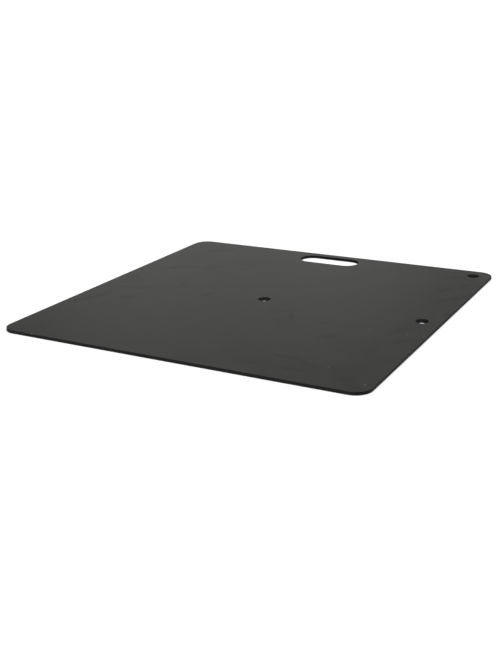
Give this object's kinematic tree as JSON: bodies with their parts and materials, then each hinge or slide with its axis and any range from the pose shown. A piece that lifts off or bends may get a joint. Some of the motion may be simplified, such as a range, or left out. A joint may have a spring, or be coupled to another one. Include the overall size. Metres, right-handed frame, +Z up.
{
  "type": "floor base plate",
  "caption": "Flat square black steel base plate with rounded corners, a hand slot and countersunk screw holes, lying on thin rubber feet, for holding an upright or fitting.",
  "frame": {"origin": "on the floor, under the centre of the plate's square outline", "axes": "+Z up, out of the plate's top face; +Y towards the edge with the hand slot; +X towards the edge with the side screw hole"},
  "size_m": [0.6, 0.6, 0.0052],
  "materials": {
    "powder_coat": "fine-textured satin black powder coat on mild steel",
    "foot_rubber": "matt black rubber"
  },
  "bodies": {
    "root": {"base_plate": "powder_coat", "front_left_foot": "foot_rubber", "front_right_foot": "foot_rubber", "rear_left_foot": "foot_rubber", "rear_right_foot": "foot_rubber"}
  },
  "joints": []
}
